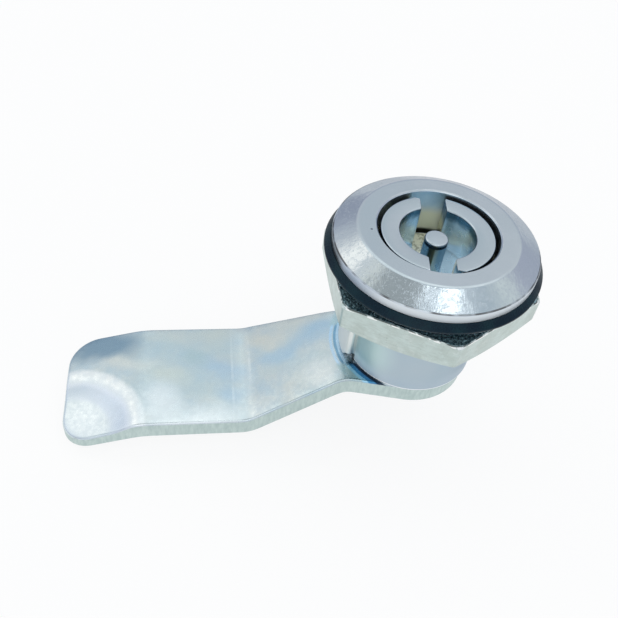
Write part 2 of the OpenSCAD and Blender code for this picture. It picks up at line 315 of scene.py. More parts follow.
def land_reach(off):
    """How far a land stands from the axis at an angle from its middle: round shoulders and a cast fillet."""
    if off < shoulder_from:
        return land_r
    if off < land_half:
        share = (off - shoulder_from) / (land_half - shoulder_from)
        return land_r - 1.0 + sqrt(max(0.0, 1 - share ** 2))
    share = (fillet_to - off) / (fillet_to - land_half)
    return barrel_r + 0.5 * (1 - sqrt(max(0.0, 1 - share ** 2)))


def land_column(middle, off):
    """One upright section of a land. The thread runs out downwards, and the flanks end above the foot."""
    foot = barrel_end + 0.1 + (land_foot - barrel_end - 0.1) * held((abs(off) - 12) / 4)
    ups = [land_high + (foot + land_ease - land_high) * row / 112 for row in range(113)]
    ups += [foot + land_ease * (1 - sin(radians(a))) for a in (15, 30, 50, 70, 90)]
    run = [(barrel_r - 0.3, land_high)]
    for up in ups:
        runs_out = held((up - thread_ends) / 3, 0.12)
        low_ease = land_ease - sqrt(max(0.0, land_ease ** 2 - max(0.0, foot + land_ease - up) ** 2))
        turned_down = 0.32 * held((-11.5 - up) / 2)
        lead_in = 0.72 * (1 - min(1.0, (land_high - up) / 0.3))
        cut = max(thread_cut(up, middle + off) * runs_out, turned_down, lead_in)
        run.append((max(min(land_reach(abs(off)), land_r - cut) - low_ease, barrel_r), up))
    return around_axis(run + [(barrel_r - 0.3, foot)], middle + off)


offs = [0, 2, 4, 6, 8, 10, 11, 12, 12.8, 13.6, 14.4, 15.2, 16, 16.7, 17.4, 18, 18.5, 18.8, 19, 19.05,
        19.2, 19.5, 20.0, 20.6, 21.2, fillet_to]
for middle in (0, 180):
    skin(work, [land_column(middle, off) for off in [-off for off in offs[:0:-1]] + offs], around=False)
housing_body = body_from("housing_body", work)


def effect(name, takes, gives):
    """A shader node group and its two end nodes. Its sockets are named, with their kind unless numbers."""
    group = bpy.data.node_groups.new(name, "ShaderNodeTree")
    for side, sockets in (("INPUT", takes), ("OUTPUT", gives)):
        for label, _, kind in (socket.partition(":") for socket in sockets.split(", ") if socket):
            group.interface.new_socket(name=label, in_out=side, socket_type="NodeSocket" + (kind or "Float"))
    return group, add(group, "NodeGroupInput").outputs, add(group, "NodeGroupOutput").inputs


def use(group, first, **feeds):
    """Places an effect in a material. Feeds after the first are named, with _ for spaces."""
    placed = add(first.id_data, "ShaderNodeGroup", first, node_tree=group)
    for name, feed in feeds.items():
        join(feed, placed.inputs[name.replace("_", " ")])
    return placed.outputs


def noise(spot, size, detail=2.0, roughness=0.5):
    """Noise from 0 to 1 with features of a size in mm, or of a frequency that a socket gives."""
    texture = add(spot.id_data, "ShaderNodeTexNoise")
    scale = size if isinstance(size, bpy.types.NodeSocket) else 1.0 / size
    for name, feed in (("Vector", spot), ("Scale", scale), ("Detail", detail), ("Roughness", roughness)):
        join(feed, texture.inputs[name])
    return texture.outputs["Fac"]


# Place in mm: where a point of the surface is, how far from the axis and how high.
place, _, gives = effect("place_in_mm", "", "Spot:Vector, Across, Height")
spot = vector("MULTIPLY", add(place, "ShaderNodeTexCoord").outputs["Object"], (1 / MM, 1 / MM, 1 / MM))
join(spot, gives["Spot"])
join(vector("LENGTH", vector("MULTIPLY", spot, (1, 1, 0))), gives["Across"])
join(axes(spot)["Z"], gives["Height"])

# Plating: a base colour with drifting clouds of another, and fine grain.
plating, takes, gives = effect(
    "plating", "Spot:Vector, Colour:Color, Cloud:Color, Cloud Frequency, Cloud Share, Grain Frequency, Grain",
    "Colour:Color, Cloudiness, Grain")
cloudy = spread(noise(takes["Spot"], takes["Cloud Frequency"], 3.0, 0.55), 0.36, 0.66)
fine = noise(takes["Spot"], takes["Grain Frequency"], 3.0, 0.6)
cloud_share = calc("MULTIPLY", cloudy, takes["Cloud Share"])
tinted = blend(cloud_share, takes["Colour"], takes["Cloud"])
speck = calc("MULTIPLY_ADD", calc("SUBTRACT", fine, 0.5), takes["Grain"], 1.0)
join(vector("MULTIPLY", tinted, speck), gives["Colour"])
join(cloudy, gives["Cloudiness"])
join(fine, gives["Grain"])

# Edge wear: 1 along corners, patchy, 0 on open faces.
edge_wear, takes, gives = effect("edge_wear", "Spot:Vector, Reach, Patch Frequency", "Worn")
soft_edge = add(edge_wear, "ShaderNodeBevel", samples=6)
join(calc("MULTIPLY", takes["Reach"], MM), soft_edge.inputs["Radius"])
true_face = add(edge_wear, "ShaderNodeNewGeometry").outputs["Normal"]
corner = spread(vector("DOT_PRODUCT", soft_edge.outputs[0], true_face), 0.995, 0.9)
patchy = spread(noise(takes["Spot"], takes["Patch Frequency"], 3.0, 0.6), 0.3, 0.62)
join(calc("MULTIPLY", corner, patchy), gives["Worn"])

# Ripple: the slow waves that polishing or rolling leaves, as a height in mm.
ripple, takes, gives = effect("ripple", "Spot:Vector, Frequency, Height, Fine Height", "Relief")
slow = calc("MULTIPLY", noise(takes["Spot"], takes["Frequency"], 1.0, 0.4), takes["Height"])
quick = noise(takes["Spot"], calc("MULTIPLY", takes["Frequency"], 5.0), 2.0, 0.5)
join(calc("MULTIPLY_ADD", quick, takes["Fine Height"], slow), gives["Relief"])

# Band: 1 within a distance either side of a value, fading to 0 at twice that distance.
band, takes, gives = effect("band", "Value, Middle, Half Width", "Mask")
off_line = calc("ABSOLUTE", calc("SUBTRACT", takes["Value"], takes["Middle"]))
join(spread(calc("DIVIDE", off_line, takes["Half Width"]), 2.0, 1.0), gives["Mask"])


def within(value, middle, half_width):
    return use(band, value, Middle=middle, Half_Width=half_width)["Mask"]


def all_of(first, *others):
    """Shares multiplied together."""
    for share in others:
        first = calc("MULTIPLY", first, share)
    return first


def over(colour, tone, *shares):
    """The colour so far with a tone laid over it, by the shares multiplied together."""
    return blend(all_of(*shares), colour, tone)


def nearer(number, other, share):
    """The number so far carried to another by a share."""
    return add(share.id_data, "ShaderNodeMapRange", share, 0.0, 1.0, number, other).outputs[0]


def finish(name, metallic, roughness, **coat):
    """A material: also its shader, where on the surface a point is, and the plating to start from."""
    made = bpy.data.materials.new(name)
    made.use_nodes = True
    shader = made.node_tree.nodes["Principled BSDF"]
    shader.inputs["Metallic"].default_value = metallic
    shader.inputs["Roughness"].default_value = roughness
    at = add(made.node_tree, "ShaderNodeGroup", node_tree=place).outputs
    return made, shader, at, use(plating, at["Spot"], **coat)


def paint(shader, relief_mm, **feeds):
    """Joins a relief in mm to the shader's normal, and feeds to its inputs, named with _ for spaces."""
    bump = add(shader.id_data, "ShaderNodeBump")
    bump.inputs["Distance"].default_value = MM
    join(relief_mm, bump.inputs["Height"])
    for name, feed in (("Normal", bump.outputs[0]), *feeds.items()):
        join(feed, shader.inputs[name.replace("_", " ")])


def chrome(name, colour, cloud):
    """Chromed casting with satin flats, hairline scratches and paler corners, the corners partly a painted
    highlight. A piece adds its own stains and painted light and shade.
    """
    made, shader, at, coat = finish(name, 1.0, 0.2, Colour=colour, Cloud=cloud, Cloud_Frequency=0.22,
                                    Cloud_Share=0.45, Grain_Frequency=5.0, Grain=0.08)
    shader.inputs["Specular Tint"].default_value = (0.7, 0.72, 0.76, 1.0)
    spot = at["Spot"]
    scratch = spread(noise(vector("MULTIPLY", spot, (0.35, 9.0, 9.0)), 1.0, 4.0, 0.7), 0.66, 0.74)
    worn = use(edge_wear, spot, Reach=0.25, Patch_Frequency=1.4)["Worn"]
    colour = over(coat["Colour"], (0.82, 0.85, 0.9), scratch, 0.24)
    # Corners are rubbed pale, and this paleness is also a painted highlight along them.
    colour = over(colour, (0.92, 0.94, 0.95), worn, 0.8)
    dull = spread(coat["Cloudiness"], 0.0, 1.0, 0.15, 0.23)
    return made, shader, at, colour, calc("MULTIPLY_ADD", scratch, 0.08, dull)


housing_chrome, shader, (spot, across, height), colour, dull = chrome(
    "housing_chrome", (0.52, 0.58, 0.625), (0.48, 0.545, 0.585))
along, aside, _ = axes(spot)
sideways = calc("ABSOLUTE", aside)
on_cone = all_of(spread(across, ring_r - 0.1, ring_r + 0.3), spread(height, rim_top - 0.1, rim_top + 0.2))
# The rim is satin. Its colour is painted light and shade: pale at the front, greyer round to the left, and
# dark at its far left.
on_rim = all_of(spread(across, head_r - 0.25, head_r - 0.1), within(height, rim_top / 2, 0.5))
satin = all_of(on_rim, spread(along, -13.9, -13.1))
rim_painted_light_and_shade = blend(spread(along, -8.0, -12.6), (0.73, 0.79, 0.83), (0.51, 0.58, 0.67))
colour = over(colour, rim_painted_light_and_shade, satin)
colour = over(colour, (0.1, 0.13, 0.15), on_rim, spread(along, -13.1, -13.8), 0.85)
# A dark line, broken here and there, runs along the corner between the cone and the rim.
seam = all_of(within(height, rim_top + 0.06, 0.045), spread(across, head_r - 0.6, head_r - 0.3),
              spread(noise(spot, 2.6, 2.0), 0.34, 0.56))
colour = over(colour, (0.05, 0.045, 0.04), seam, 0.8)
# The bore keeps the die's grey skin, stained straw yellow below, and painted black at its foot as painted
# shade in the deep gap.
in_bore = all_of(spread(across, bore_r + 0.2, bore_r + 0.05), spread(height, head_top - 0.12, head_top - 0.2))
bore_skin = blend(noise(spot, 1.0, 3.0), (0.84, 0.96, 1.0), (0.6, 0.76, 0.9))
bore_skin = over(bore_skin, (0.98, 1.0, 0.76), spread(height, 0.8, -1.2))
bore_skin = over(bore_skin, (0.03, 0.03, 0.02), spread(height, -3.4, -3.9))
colour = over(colour, bore_skin, in_bore)
# The barrel is matt and grey, painted a little green at its front left as a painted reflection of the cam,
# with creamy lands and a bright lower lip.
on_barrel = all_of(spread(height, -1.3, -1.6), spread(across, bore_r + 0.25, bore_r + 0.45))
barrel_skin = blend(noise(spot, 4.0, 2.0), (0.44, 0.57, 0.66), (0.5, 0.6, 0.67))
colour = over(colour, barrel_skin, on_barrel)
greenish = spread(vector("DISTANCE", spot, (-9.0, -4.6, -14.0)), 7.0, 2.0)
colour = over(colour, (0.6, 0.79, 0.79), on_barrel, greenish)
on_land = all_of(on_barrel, spread(across, barrel_r + 0.25, barrel_r + 0.8))
# The lands' cream is partly their own colour and partly a painted highlight.
colour = over(colour, (0.93, 0.95, 0.9), on_land)
# The fillets beside the lands are painted darker: painted shade in the corner.
colour = over(colour, (0.4, 0.38, 0.34), on_barrel, within(across, barrel_r + 0.22, 0.13), 0.6)
# The bright lower lip is a painted highlight.
barrel_lip = all_of(within(height, barrel_end + 0.14, 0.13), spread(across, barrel_r - 0.5, barrel_r - 0.4))
colour = over(colour, (0.96, 0.97, 0.98), barrel_lip)
# Painted shadow lies black in the corner where a land's flank ends above the cam, and one pit shows on the
# flat ring.
up_foot = add(sideways.id_data, "ShaderNodeMapRange", sideways, 2.29, 3.03, barrel_end + 0.1, land_foot)
over_foot = spread(calc("SUBTRACT", height, up_foot.outputs[0]), 0.3, 0.08)
colour = over(colour, (0.05, 0.065, 0.065), over_foot, spread(across, 9.0, 9.3),
              spread(sideways, 2.5, 2.9), spread(sideways, 3.6, 3.2))
pit = spread(vector("DISTANCE", spot, (-9.1, 0.0, head_top)), 0.22, 0.08)
colour = over(colour, (0.16, 0.19, 0.22), pit)
# Dull skins are only partly metal, so that they show their own colour more than the tent's.
low_bore = all_of(in_bore, spread(height, 1.0, -0.6))
barrel_foot = all_of(spread(height, -16.2, -18.6), spread(across, barrel_r + 0.2, barrel_r + 0.05))
skinned = calc("MAXIMUM", calc("MAXIMUM", low_bore, barrel_foot), calc("MULTIPLY", on_land, 0.6))
matt = calc("MAXIMUM", on_barrel, satin)
for other, share in ((0.28, in_bore), (0.48, low_bore), (0.42, matt), (0.7, barrel_lip)):
    dull = nearer(dull, other, share)
# Polishing leaves waves, fine pits and streaks, mostly on the cone.
waves = use(ripple, spot, Frequency=0.55, Height=spread(on_cone, 0.0, 1.0, 0.012, 0.058),
            Fine_Height=spread(on_cone, 0.0, 1.0, 0.0012, 0.011))["Relief"]
pits = spread(noise(spot, 0.42, 2.0, 0.6), 0.56, 0.66)
streaks = noise(vector("MULTIPLY", spot, (5.0, 0.8, 0.8)), 1.0, 2.0, 0.6)
marks = calc("MULTIPLY_ADD", pits, -0.008, calc("MULTIPLY", streaks, 0.01))
paint(shader, calc("MULTIPLY_ADD", marks, on_cone, waves), Base_Color=colour, Roughness=dull,
      Metallic=spread(skinned, 0.0, 1.0, 1.0, 0.3))
housing_body.data.materials.append(housing_chrome)
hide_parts("housing")
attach(housing_body, "lock_body")

# The gasket: a moulded rubber ring between the head and the panel. It slips over the
# threaded lands, stands a little proud of the head, and shines along its lower lip.
gasket_in, gasket_under_head, gasket_out = 11.1, 14.05, 14.85
gasket_top, gasket_brow, gasket_low = -0.01, -0.7, -1.2
work = bmesh.new()
turned(work, eased([
    (gasket_in, gasket_top, 0.1), (gasket_under_head, gasket_top, 0.05), (gasket_out, gasket_brow, 0.15),
    (gasket_out, gasket_low, 0.33), (gasket_in, gasket_low, 0.1)], 5), 240)
gasket_ring = body_from("gasket_ring", work)
rubber, shader, (spot, _, _), bloom = finish(
    "gasket_rubber", 0.0, 0.3, Colour=(0.001, 0.012, 0.024), Cloud=(0.004, 0.026, 0.036),
    Cloud_Frequency=0.35, Cloud_Share=0.8, Grain_Frequency=6.0, Grain=0.9)
shader.inputs["Specular IOR Level"].default_value = 0.14
scuffs = use(edge_wear, spot, Reach=0.3, Patch_Frequency=1.8)["Worn"]
moulded = use(ripple, spot, Frequency=0.5, Height=0.03, Fine_Height=0.012)["Relief"]
paint(shader, moulded, Base_Color=over(bloom["Colour"], (0.3, 0.36, 0.4), scuffs, 0.06),
      Roughness=spread(bloom["Grain"], 0.3, 0.7, 0.2, 0.36))
gasket_ring.data.materials.append(rubber)
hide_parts("head_gasket")
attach(gasket_ring, "lock_body")

# The nut: pressed from hexagon bar, threaded M22 and zinc plated. Its lower face is
# turned to a cone at the corners, its upper face only loses their points, and the
# plating is dull, greenish and mottled on the sides.
nut_flat, nut_corner_r, nut_high, nut_low, nut_turn = 13.5, 0.45, -2.9, -7.5, 31.5
nut_cone_r, nut_break_r, cone_slope, break_slope = nut_flat - 0.2, 15.0, 22, 40
nut_bore_r, nut_mouth_r, nut_mouth = 11.1, 11.7, 0.55


def hexagon_r(flat, turn, corner):
    """Distance to a hexagon's side at an angle from a corner, its corners rounded to a radius."""
    off = abs((turn + 30) % 60 - 30)
    straight = flat / cos(radians(30 - off))
    tip_in, tip_aside = polar((flat - corner) / cos(radians(30)), off)
    round_r = tip_in + sqrt(max(0.0, corner ** 2 - tip_aside ** 2))
    at_corner = tip_aside < corner * sin(radians(30)) * 1.02
    return round_r if at_corner and round_r < straight else straight


chips = random.Random(4)
work = bmesh.new()
columns = []
for angle in range(360):
    reach = hexagon_r(nut_flat, angle, nut_corner_r)
    chip = 0.07 * chips.random() ** 3
    inner = min(reach - 0.12, nut_break_r) - chip
    fall = max(0.1, (reach - nut_break_r) * tan(radians(break_slope))) + chip * 0.7
    rise = (reach - nut_cone_r) * tan(radians(cone_slope))
    loop = eased([
        (nut_mouth_r, nut_high, 0.08), (inner, nut_high, 0.03), (reach, nut_high - fall, 0.05),
        (reach, nut_low + rise, 0.12), (nut_cone_r, nut_low, 0.05), (nut_mouth_r, nut_low, 0.08),
        (nut_bore_r + 0.02, nut_low + nut_mouth, 0.02)], 3)
    first, last = nut_low + nut_mouth + 0.01, nut_high - nut_mouth - 0.01
    for up in (first + (last - first) * row / 30 for row in range(31)):
        loop.append((nut_bore_r - thread_cut(up, angle + nut_turn), up))
    loop.append((nut_bore_r + 0.02, nut_high - nut_mouth))
    columns.append(around_axis(loop, angle + nut_turn))
skin(work, columns)
nut_body = body_from("nut_body", work)
zinc, shader, (spot, _, height), coat = finish(
    "nut_zinc", 1.0, 0.3, Colour=(0.57, 0.67, 0.65), Cloud=(0.49, 0.57, 0.54), Cloud_Frequency=0.5,
    Cloud_Share=0.8, Grain_Frequency=3.0, Grain=0.24)
streaks = noise(vector("MULTIPLY", spot, (0.8, 0.8, 3.6)), 1.0, 4.0, 0.6)
colour = over(coat["Colour"], (0.4, 0.47, 0.45), spread(streaks, 0.4, 0.66, 0.0, 0.3))
pale = spread(noise(spot, 1.5, 4.0, 0.7), 0.5, 0.7, 0.0, 0.3)
colour = over(colour, (0.74, 0.8, 0.79), pale)
pits = spread(noise(spot, 0.3, 2.0, 0.5), 0.64, 0.72)
colour = over(colour, (0.26, 0.31, 0.29), pits, 0.25)
# The upper edge is dark where its plating chipped, with bright dashes just under it: a painted highlight on
# the chamfer.
painted_highlight_dashes = spread(noise(spot, 1.2, 3.0, 0.65), 0.46, 0.52)
colour = over(colour, (0.98, 1.0, 0.99), within(height, nut_high - 0.22, 0.09), painted_highlight_dashes, 0.85)
chipped = spread(noise(spot, 1.4, 2.0, 0.6), 0.42, 0.5)
colour = over(colour, (0.04, 0.05, 0.05), within(height, nut_high - 0.04, 0.07), chipped, 0.9)
# The flat faces are coarse, like the sawn bar they came from, and painted dark teal with pale specks: painted
# shade and reflection, with painted glints.
facing = axes(add(shader.id_data, "ShaderNodeTexCoord").outputs["Normal"])["Z"]
on_face = spread(calc("ABSOLUTE", facing), 0.75, 0.92)
shade_and_glint_specks = spread(noise(spot, 0.28, 2.0, 0.7), 0.38, 0.64)
colour = over(colour, blend(shade_and_glint_specks, (0.07, 0.17, 0.22), (0.54, 0.82, 0.88)), on_face)
worn = use(edge_wear, spot, Reach=0.22, Patch_Frequency=1.6)["Worn"]
dull = spread(coat["Grain"], 0.3, 0.7, 0.28, 0.42)
rough_skin = use(ripple, spot, Frequency=0.7, Height=0.03, Fine_Height=0.02)["Relief"]
rough_skin = calc("MULTIPLY_ADD", streaks, 0.01, rough_skin)
coarse = calc("MULTIPLY_ADD", on_face, 0.22, 0.008)
paint(shader, calc("MULTIPLY_ADD", noise(spot, 0.36, 2.0, 0.6), coarse, rough_skin),
      Base_Color=over(colour, (0.78, 0.84, 0.82), worn, 0.45),
      Roughness=calc("MULTIPLY_ADD", on_face, 0.04, dull))
nut_body.data.materials.append(zinc)
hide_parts("hex_nut")
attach(nut_body, "lock_body")

# The insert: a second chromed casting that the key turns. A slotted cup stands round
# the centre pin, and below it are the stop lug, the journal with its seal groove, and
# the square that drives the cam.
cup_r, socket_r, cup_top, socket_floor, cup_foot = 7.65, 5.15, 2.5, -4.0, -5.8
slot_half, slot_turn, slot_break = 1.75, 83.0, 0.9
break_r = cup_r - slot_break / 2
pin_r, pin_top = 1.6, 1.6
journal_r, journal_top, journal_foot = 6.0, cup_foot + 0.2, -19.5
groove_r, groove_high, groove_low = 4.5, -9.75, -12.05
lug_in, lug_r, lug_foot, lug_from, lug_sweep = 5.8, 7.95, -7.8, 173.0, 40.0
square_half, square_flat, square_high, square_low = 4.0, 3.6, -19.3, -22.2
work = bmesh.new()


def rounding(radius, angles):
    """How far in and how far back each step of a rounded corner lies, at angles in degrees from its start."""
    turns = [radians(angle) for angle in angles]
    return [(radius * (1 - sin(turn)), radius * (1 - cos(turn))) for turn in turns]


def cup_side(first, last, ease):
    """Half of the cup's wall, from one slot to the other, with rounded ends and top."""
    def wall(share, inset, shift):
        points = []
        for radius, up in eased([
                (socket_r + inset, socket_floor - 0.3, 0), (socket_r + inset, cup_top - inset, 0.2),
                (break_r, cup_top - inset, 0), (cup_r - inset, cup_top - inset, 0.12),
                (cup_r - inset, socket_floor - 0.3, 0)], 3):
            cut = slot_half + slot_break * max(0.0, (radius - break_r) / (cup_r - break_r))
            from_turn = first + degrees(asin(min(0.99, cut / radius)))
            to_turn = last - degrees(asin(slot_half / radius))
            x, y = polar(radius, from_turn + (to_turn - from_turn) * share)
            points.append((x + shift.x, y + shift.y, up))
        return points
    lead_in, lead_out = Vector(polar(1, first + 90)), Vector(polar(1, last - 90))
    ends = rounding(ease, (0, 22, 45, 68, 90))
    columns = [wall(0, inset, lead_in * out) for inset, out in ends]
    columns += [wall(k / 72, 0, Vector((0, 0))) for k in range(2, 71)]
    return columns + [wall(1, inset, lead_out * out) for inset, out in ends[::-1]]


for first in (slot_turn, slot_turn + 180):
    skin(work, cup_side(first, first + 180, 0.15), around=False)
floor_r = cup_r - 0.01
turned(work, eased([
    (0, socket_floor, 0), (floor_r, socket_floor, 0.1), (floor_r, cup_foot, 0.1), (0, cup_foot, 0)], 3))
turned(work, eased([
    (0, pin_top, 0), (pin_r, pin_top, 0.24), (pin_r, socket_floor, 0), (pin_r + 0.2, socket_floor - 0.2, 0),
    (0, socket_floor - 0.2, 0)], 5), 64)
turned(work, eased([
    (0, journal_top, 0), (journal_r, journal_top, 0), (journal_r, groove_high, 0.1),
    (groove_r, groove_high, 0.1), (groove_r, groove_low, 0.1), (journal_r, groove_low, 0.1),
    (journal_r, journal_foot, 0.1), (0, journal_foot, 0)], 3), 128)
lug = eased([
    (lug_in, journal_top, 0), (lug_r, journal_top, 0.1), (lug_r, lug_foot, 0.15), (lug_in, lug_foot, 0)], 3)
skin(work, [around_axis(lug, lug_from + lug_sweep * k / 20) for k in range(21)], around=False)
square = [(square_half, -square_flat), (square_half, square_flat), (square_flat, square_half),
          (-square_flat, square_half), (-square_half, square_flat), (-square_half, -square_flat),
          (-square_flat, -square_half), (square_flat, -square_half)]
skin(work, [[(x, y, up) for x, y in square] for up in (square_high, -22.0, square_low)], around=False)
insert_body = body_from("insert_body", work)
insert_chrome, shader, (spot, across, height), colour, dull = chrome(
    "insert_chrome", (0.505, 0.57, 0.615), (0.465, 0.545, 0.58))
swung = add(spot.id_data, "ShaderNodeVectorRotate", spot, rotation_type="Z_AXIS")
swung.inputs["Angle"].default_value = radians(-slot_turn)
out_along, aside, _ = axes(swung.outputs[0])
# Inside the socket the plating is thin and blue, with painted shade darkening it under the rim.
thin = blend(noise(spot, 1.3, 4.0, 0.65), (0.83, 0.96, 1.0), (0.54, 0.71, 0.84))
under_rim = calc("MULTIPLY_ADD", noise(spot, 1.2, 3.0, 0.6), 1.2, height)
thin = over(thin, (0.14, 0.27, 0.36), spread(under_rim, cup_top - 1.2, cup_top - 0.2))
floor_skin = blend(noise(spot, 1.6, 3.0), (0.62, 0.73, 0.78), (0.5, 0.61, 0.67))
thin = over(thin, floor_skin, spread(height, socket_floor + 0.3, socket_floor + 0.1))
# The slots' walls are pale, straw yellow low down, and blued at the right of the front slot.
in_slot = all_of(spread(calc("ABSOLUTE", aside), slot_half + 0.11, slot_half + 0.05),
                 spread(across, pin_r + 0.2, pin_r + 0.4))
thin = over(thin, (0.95, 0.93, 0.84), in_slot, 0.9)
right_wall = all_of(in_slot, spread(aside, 0.15 - slot_half, 0.05 - slot_half))
thin = over(thin, (0.1, 0.24, 0.4), right_wall, spread(height, -0.8, 0.8),
            spread(out_along, 0.5, 1.5), 0.85)
pale_wall = all_of(right_wall, spread(out_along, -0.5, -1.5))
thin = over(thin, (0.92, 0.9, 0.78), pale_wall)
thin = over(thin, (0.92, 0.9, 0.7), in_slot, spread(height, 0.6, -1.6),
            spread(out_along, -0.5, 1.5, 0.0, 0.6))
# Grime lies on the slots' floor, which keeps more of the die's dull skin at the back.
thin = over(thin, (0.2, 0.2, 0.14), in_slot, spread(height, socket_floor + 0.6, socket_floor + 0.1),
            spread(noise(spot, 1.0, 3.0, 0.65), 0.46, 0.54), 0.6)
slot_floor = all_of(in_slot, spread(height, socket_floor + 0.5, socket_floor + 0.15))
thin = over(thin, (0.8, 0.84, 0.78), slot_floor, spread(out_along, 1.0, -1.0))
dull_skin = calc("MAXIMUM", slot_floor, pale_wall)
# The pin's side is blue, with a painted dark reflection down its middle and painted shade right under its
# rounded top.
on_pin = spread(across, pin_r + 0.18, pin_r + 0.1)
painted_dark_reflection = all_of(within(aside, 0.62, 0.28), spread(out_along, 0.0, -0.6))
pin_side = blend(painted_dark_reflection, (0.4, 0.56, 0.66), (0.09, 0.11, 0.09))
pin_side = over(pin_side, (0.03, 0.05, 0.07), within(height, pin_top - 0.55, 0.16))
thin = over(thin, pin_side, on_pin)
thin = over(thin, colour, on_pin, spread(height, pin_top - 0.32, pin_top - 0.24))
in_socket = all_of(spread(height, cup_top - 0.1, cup_top - 0.3),
                   spread(across, cup_r - 0.15, cup_r - 0.25))
colour = over(colour, thin, in_socket)
# The cup's outer side runs in the bore and is painted black: painted shade for the narrow gap.
painted_gap_shade = all_of(spread(across, cup_r - 0.2, cup_r - 0.05),
                 spread(height, cup_top - 0.13, cup_top - 0.2))
dull = calc("MULTIPLY_ADD", painted_gap_shade, 0.3, calc("MULTIPLY_ADD", in_socket, 0.08, dull))
waves = use(ripple, spot, Frequency=0.55, Height=spread(in_socket, 0.0, 1.0, 0.004, 0.03),
            Fine_Height=spread(in_socket, 0.0, 1.0, 0.0012, 0.004))
paint(shader, waves["Relief"], Base_Color=over(colour, (0.03, 0.032, 0.035), painted_gap_shade), Roughness=dull,
      Metallic=spread(dull_skin, 0.0, 1.0, 1.0, 0.35))
insert_body.data.materials.append(insert_chrome)
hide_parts("insert")
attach(insert_body, "rotor")

# The shaft seal: a black rubber cord ring, greased, in the journal's groove, pressed
# flat against the housing's bore.
cord_r, cord_middle_r, cord_up, pressed_r = 0.9, 5.4, (groove_high + groove_low) / 2, 6.025
work = bmesh.new()
cord = [polar(cord_r, angle) for angle in range(0, 360, 15)]
turned(work, [(min(cord_middle_r + out, pressed_r), cord_up + up) for out, up in cord], 96)
seal_ring = body_from("seal_ring", work)
seal_rubber, shader, (spot, _, _), bloom = finish(
    "seal_rubber", 0.0, 0.3, Colour=(0.012, 0.012, 0.014), Cloud=(0.03, 0.03, 0.032),
    Cloud_Frequency=0.8, Cloud_Share=0.6, Grain_Frequency=8.0, Grain=0.6)
moulded = use(ripple, spot, Frequency=1.0, Height=0.01, Fine_Height=0.004)["Relief"]
paint(shader, moulded, Base_Color=bloom["Colour"], Roughness=spread(bloom["Cloudiness"], 0.0, 1.0, 0.22, 0.4))
seal_ring.data.materials.append(seal_rubber)
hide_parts("shaft_seal")
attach(seal_ring, "rotor")

# The cam: blanked from 3 mm steel strip, cranked clear of the nut, its tip bent to a
# lead-in with a ramp coined into one corner, then zinc plated and blued. The top edge
# is rolled by the shear, and the plating has soft blue and straw-coloured clouds.
hub_r, neck_half, tongue_half, tip_at, tip_corner = 9.0, 6.9, 9.25, 52.0, 4.6
crank_from, crank_to, crank_drop, lead_from = 10.5, 24.4, 6.4, 40.3
lead_slope = radians(14.5)
cam_top, cam_thick, square_hole = -19.5, 3.0, 4.1
ramp_r, ramp_slope, ramp_deep = 11.5, 4.2, 0.92


def bend_arc(before, corner, after, radius, steps):
    """Points of a rounded corner in an open run."""
    return eased([(*before, 0), (*corner, radius), (*after, 0)], steps)[1:-1]


def cam_side(stop):
    """The cam's mid surface seen from the side, out along its length, offset by stop."""
    past_tip = tip_at + 3
    corners = [(-12, 0), (crank_from, 0), (crank_to, -crank_drop), (lead_from, -crank_drop),
               (past_tip, -crank_drop - (past_tip - lead_from) * tan(lead_slope))]
    path = [corners[0]]
    for here, radius in ((1, 6.0), (2, 6.0), (3, 14.0)):
        path += bend_arc(corners[here - 1], corners[here], corners[here + 1], radius, 12)
    path.append(corners[-1])
    run = []
    for here, (out, up) in enumerate(path):
        a, b = path[max(0, here - 1)], path[min(len(path) - 1, here + 1)]
        along = Vector((b[0] - a[0], b[1] - a[1])).normalized()
        run.append((out - along.y * stop, up + along.x * stop + cam_top - cam_thick / 2))
    return run


top_side, bottom_side = cam_side(cam_thick / 2), cam_side(-cam_thick / 2)


def along_run(run, out):
    """Height of a run at a distance out, straight between its points."""
    for (a, up_a), (b, up_b) in zip(run, run[1:]):
        if out <= b:
            return up_a + (up_b - up_a) * (out - a) / (b - a)
    return run[-1][1]


def coined(x, y):
    """Depth pressed out of the top at the tip's leading corner, in mm."""
    inside = ramp_r - hypot(x + tip_at, y + tongue_half)
    share = held(inside / ramp_slope)
    deep = ramp_deep - 0.029 * (y + tongue_half)
    return (3 * share ** 2 - 2 * share ** 3) * deep + 0.05 * max(0.0, inside - 3.5)


def cam_high(x, y):
    return along_run(top_side, -x) - coined(x, y)


def cam_low(x, y):
    return along_run(bottom_side, -x)


def cam_outline():
    """The cam's edge in plan, as it lies along -X."""
    neck, shoulder, side_end = (crank_from, neck_half), (crank_to, tongue_half), (tip_at, tongue_half)
    lean = degrees(atan2(neck_half, crank_from) + acos(hub_r / hypot(*neck)))
    side = [polar(hub_r, 180 - (180 - lean) * k / 60) for k in range(61)]
    side += bend_arc(side[-1], neck, shoulder, 7.0, 10) + bend_arc(neck, shoulder, side_end, 14.0, 12)
    side += [(crank_to + 3 + k * (tip_at - tip_corner - crank_to - 4) / 24, tongue_half) for k in range(25)]
    side += bend_arc(shoulder, side_end, (tip_at, 0), tip_corner, 14)
    side += [(tip_at, (tongue_half - tip_corner) * (1 - k / 6)) for k in range(1, 6)]
    far = [(-out, y) for out, y in side]
    near = [(-out, -y) for out, y in side[:0:-1]]
    return far + [(-tip_at, 0)] + near


def inside_of(spot, loop):
    """Whether a point is inside a closed run."""
    inside = False
    for (ax, ay), (bx, by) in zip(loop, loop[1:] + loop[:1]):
        if (ay > spot.y) != (by > spot.y) and spot.x < (bx - ax) * (spot.y - ay) / (by - ay) + ax:
            inside = not inside
    return inside


